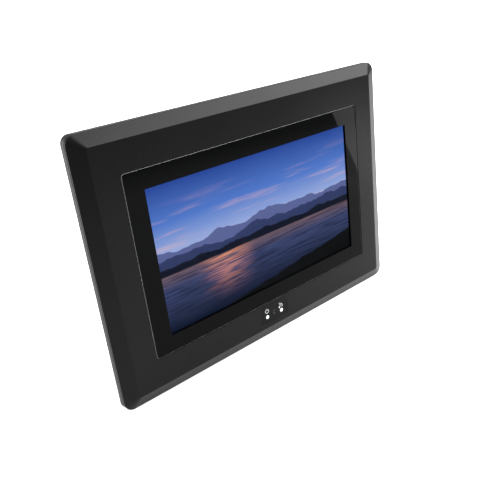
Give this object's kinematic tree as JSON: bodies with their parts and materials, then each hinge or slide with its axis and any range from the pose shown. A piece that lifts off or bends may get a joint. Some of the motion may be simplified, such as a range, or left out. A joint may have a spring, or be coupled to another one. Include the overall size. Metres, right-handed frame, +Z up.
{
  "type": "digital photo frame",
  "caption": "Desktop digital photo frame: widescreen display in a bevelled black casing that leans back on a folding easel leg, with rear buttons and side sockets.",
  "frame": {"origin": "on the table, under the middle of the bounding box", "axes": "+Z up; the screen faces -Y and leans back 10 degrees; +X is to the right of someone facing the screen"},
  "size_m": [0.2246, 0.0622, 0.1548],
  "materials": {
    "bezel_plastic": "satin moulded black",
    "rear_plastic": "fine matte texture, black",
    "key_plastic": "satin dark grey",
    "panel_plastic": "smooth satin black",
    "socket_plastic": "black moulded",
    "window_glass": "glossy black border round a clear window",
    "lcd_glass": "lit display",
    "diffuser": "white diffuser",
    "led_lens": "lit clear lens",
    "steel": "bright zinc-plated",
    "circuit_board": "green solder mask",
    "chip": "moulded epoxy",
    "foam": "black foam",
    "cable": "amber film",
    "rubber": "matte black rubber"
  },
  "bodies": {
    "casing": {"front_bezel": "bezel_plastic", "rear_cover": "rear_plastic", "foot_left": "rubber", "foot_right": "rubber", "front_glass": "window_glass", "glass_tape": "foam", "display_gasket": "foam", "lcd_cell": "lcd_glass", "lcd_backlight": "diffuser", "lcd_tray": "steel", "lcd_bracket_left": "steel", "lcd_bracket_right": "steel", "indicator_plate": "panel_plastic", "led_left": "led_lens", "led_right": "led_lens", "sensor_lens": "window_glass", "ir_receiver": "chip", "indicator_board": "circuit_board", "indicator_lead": "cable", "main_board": "circuit_board", "main_processor": "chip", "memory_chip": "chip", "flash_chip": "chip", "power_inductor": "chip", "filter_capacitor": "steel", "clock_battery": "steel", "lcd_connector": "socket_plastic", "lcd_flat_cable": "cable", "card_socket": "steel", "usb_host_socket": "steel", "usb_mini_socket": "steel", "power_inlet": "socket_plastic", "power_switch": "steel", "speaker_left": "socket_plastic", "speaker_right": "socket_plastic", "stand_pin": "steel", "key_switch_1": "socket_plastic", "key_switch_2": "socket_plastic", "key_switch_3": "socket_plastic", "key_switch_4": "socket_plastic", "key_switch_5": "socket_plastic", "case_screw_1": "steel", "bracket_screw_1": "steel", "case_screw_2": "steel", "bracket_screw_2": "steel", "case_screw_3": "steel", "bracket_screw_3": "steel", "case_screw_4": "steel", "bracket_screw_4": "steel", "board_screw_1": "steel", "board_screw_2": "steel", "board_screw_3": "steel"},
    "stand": {"stand_leg": "rear_plastic", "stand_foot": "rubber"},
    "power_switch_knob": {"power_switch_knob": "key_plastic"},
    "button_menu": {"button_menu": "key_plastic"},
    "button_back": {"button_back": "key_plastic"},
    "button_previous": {"button_previous": "key_plastic"},
    "button_next": {"button_next": "key_plastic"},
    "button_enter": {"button_enter": "key_plastic"}
  },
  "joints": [
    {"name": "stand_hinge", "type": "hinge", "parent": "casing", "child": "stand", "pos_m": [0, 0.00709, 0.11292], "axis": [1, 0, 0], "range_deg": [-21, 0]},
    {"name": "button_menu_press", "type": "slide", "parent": "casing", "child": "button_menu", "axis": [0, -0.9848, 0.1736], "range_m": [0, 0.0006], "stiffness_N_per_m": 300},
    {"name": "button_back_press", "type": "slide", "parent": "casing", "child": "button_back", "axis": [0, -0.9848, 0.1736], "range_m": [0, 0.0006], "stiffness_N_per_m": 300},
    {"name": "button_previous_press", "type": "slide", "parent": "casing", "child": "button_previous", "axis": [0, -0.9848, 0.1736], "range_m": [0, 0.0006], "stiffness_N_per_m": 300},
    {"name": "button_next_press", "type": "slide", "parent": "casing", "child": "button_next", "axis": [0, -0.9848, 0.1736], "range_m": [0, 0.0006], "stiffness_N_per_m": 300},
    {"name": "button_enter_press", "type": "slide", "parent": "casing", "child": "button_enter", "axis": [0, -0.9848, 0.1736], "range_m": [0, 0.0006], "stiffness_N_per_m": 300},
    {"name": "power_switch_slide", "type": "slide", "parent": "casing", "child": "power_switch_knob", "axis": [1, 0, 0], "range_m": [0, 0.003]}
  ]
}
